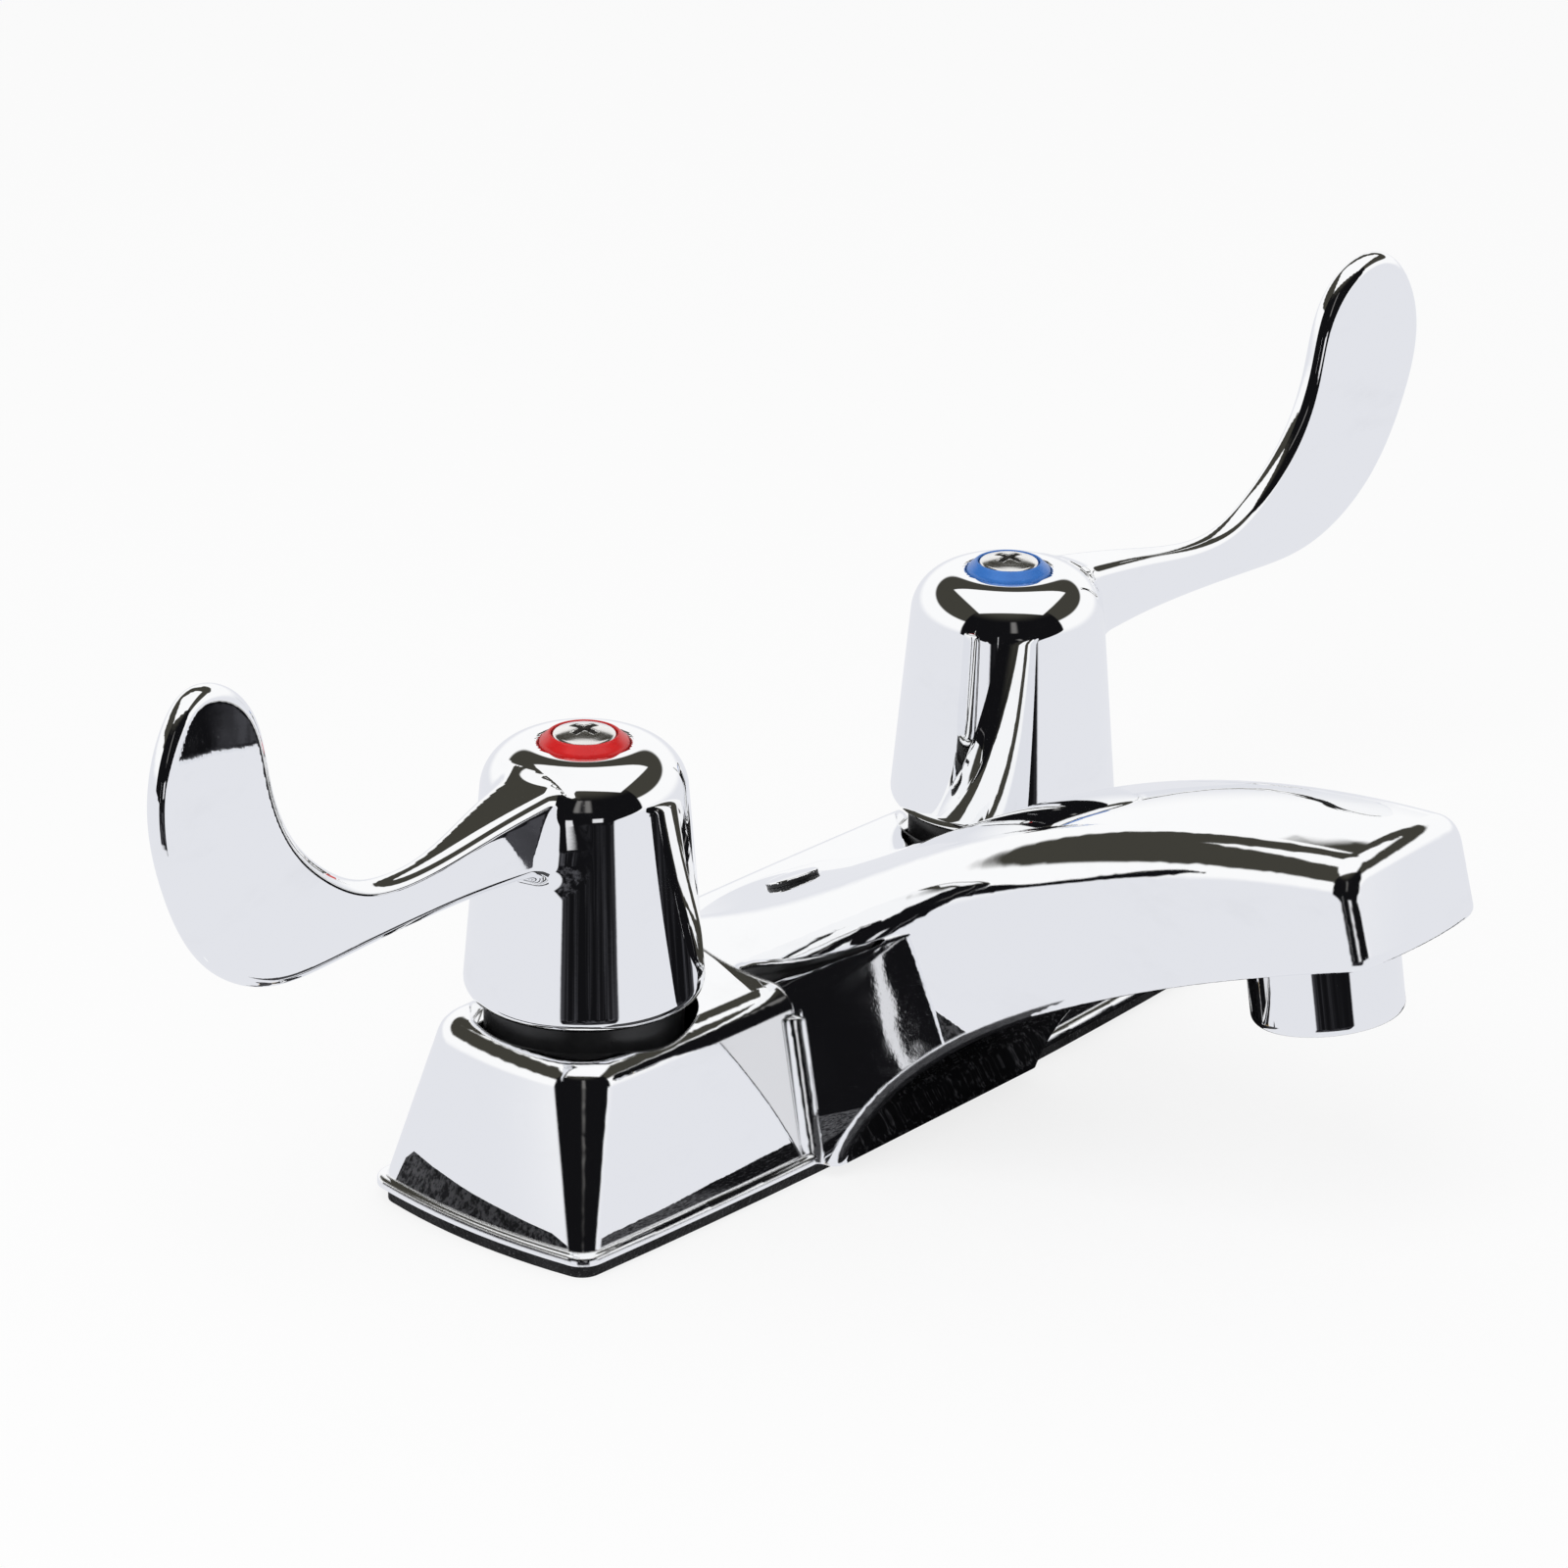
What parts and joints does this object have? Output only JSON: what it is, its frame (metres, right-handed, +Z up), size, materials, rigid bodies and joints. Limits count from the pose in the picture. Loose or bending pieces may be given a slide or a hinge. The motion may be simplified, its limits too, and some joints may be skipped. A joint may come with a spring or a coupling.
{
  "type": "two-handle centerset faucet",
  "caption": "Chrome two-handle centerset bathroom faucet with wrist-blade handles, arched spout, aerator and threaded inlet shanks below the deck.",
  "frame": {"origin": "in the deck plane under the gasket, midway between the two inlet shanks", "axes": "+Z up out of the deck, -Y along the spout towards the user, +X from the hot side to the cold side"},
  "size_m": [0.296, 0.1404, 0.1627],
  "materials": {
    "chrome_plate": "polished chrome plate",
    "chrome_trim": "polished chrome plate",
    "gasket_foam": "speckled closed-cell foam",
    "black_plastic": "satin moulded plastic",
    "red_plastic": "gloss moulded plastic",
    "blue_plastic": "gloss moulded plastic",
    "grey_plastic": "satin moulded plastic",
    "brass": "turned brass",
    "steel": "zinc-plated steel",
    "screw_steel": "nickel-plated steel",
    "ceramic": "polished ceramic",
    "seal_rubber": "moulded rubber"
  },
  "bodies": {
    "faucet": {"aerator_housing": "chrome_trim", "aerator_insert": "grey_plastic", "aerator_screen": "steel", "aerator_washer": "seal_rubber", "base_gasket": "gasket_foam", "cold_bonnet_nut": "brass", "cold_bonnet_sleeve": "black_plastic", "cold_cartridge_o_ring": "seal_rubber", "cold_cartridge_shell": "brass", "cold_fixed_disc": "ceramic", "cold_inlet_shank": "brass", "cold_lock_nut": "brass", "cold_seat_seal": "seal_rubber", "cold_shank_washer": "steel", "hot_bonnet_nut": "brass", "hot_bonnet_sleeve": "black_plastic", "hot_cartridge_o_ring": "seal_rubber", "hot_cartridge_shell": "brass", "hot_fixed_disc": "ceramic", "hot_inlet_shank": "brass", "hot_lock_nut": "brass", "hot_seat_seal": "seal_rubber", "hot_shank_washer": "steel", "lift_rod_hole_plug": "chrome_trim", "spout_body": "chrome_plate"},
    "hot_lever": {"hot_handle": "chrome_plate", "hot_index_ring": "red_plastic", "hot_handle_screw": "screw_steel", "hot_stem": "brass", "hot_moving_disc": "ceramic", "hot_stem_o_ring": "seal_rubber", "hot_stem_clip": "steel"},
    "cold_lever": {"cold_handle": "chrome_plate", "cold_index_ring": "blue_plastic", "cold_handle_screw": "screw_steel", "cold_stem": "brass", "cold_moving_disc": "ceramic", "cold_stem_o_ring": "seal_rubber", "cold_stem_clip": "steel"}
  },
  "joints": [
    {"name": "hot_turn", "type": "hinge", "parent": "faucet", "child": "hot_lever", "pos_m": [-0.0508, 0, 0.05], "axis": [0, 0, 1], "range_deg": [0, 90]},
    {"name": "cold_turn", "type": "hinge", "parent": "faucet", "child": "cold_lever", "pos_m": [0.0508, 0, 0.05], "axis": [0, 0, -1], "range_deg": [0, 90]}
  ]
}
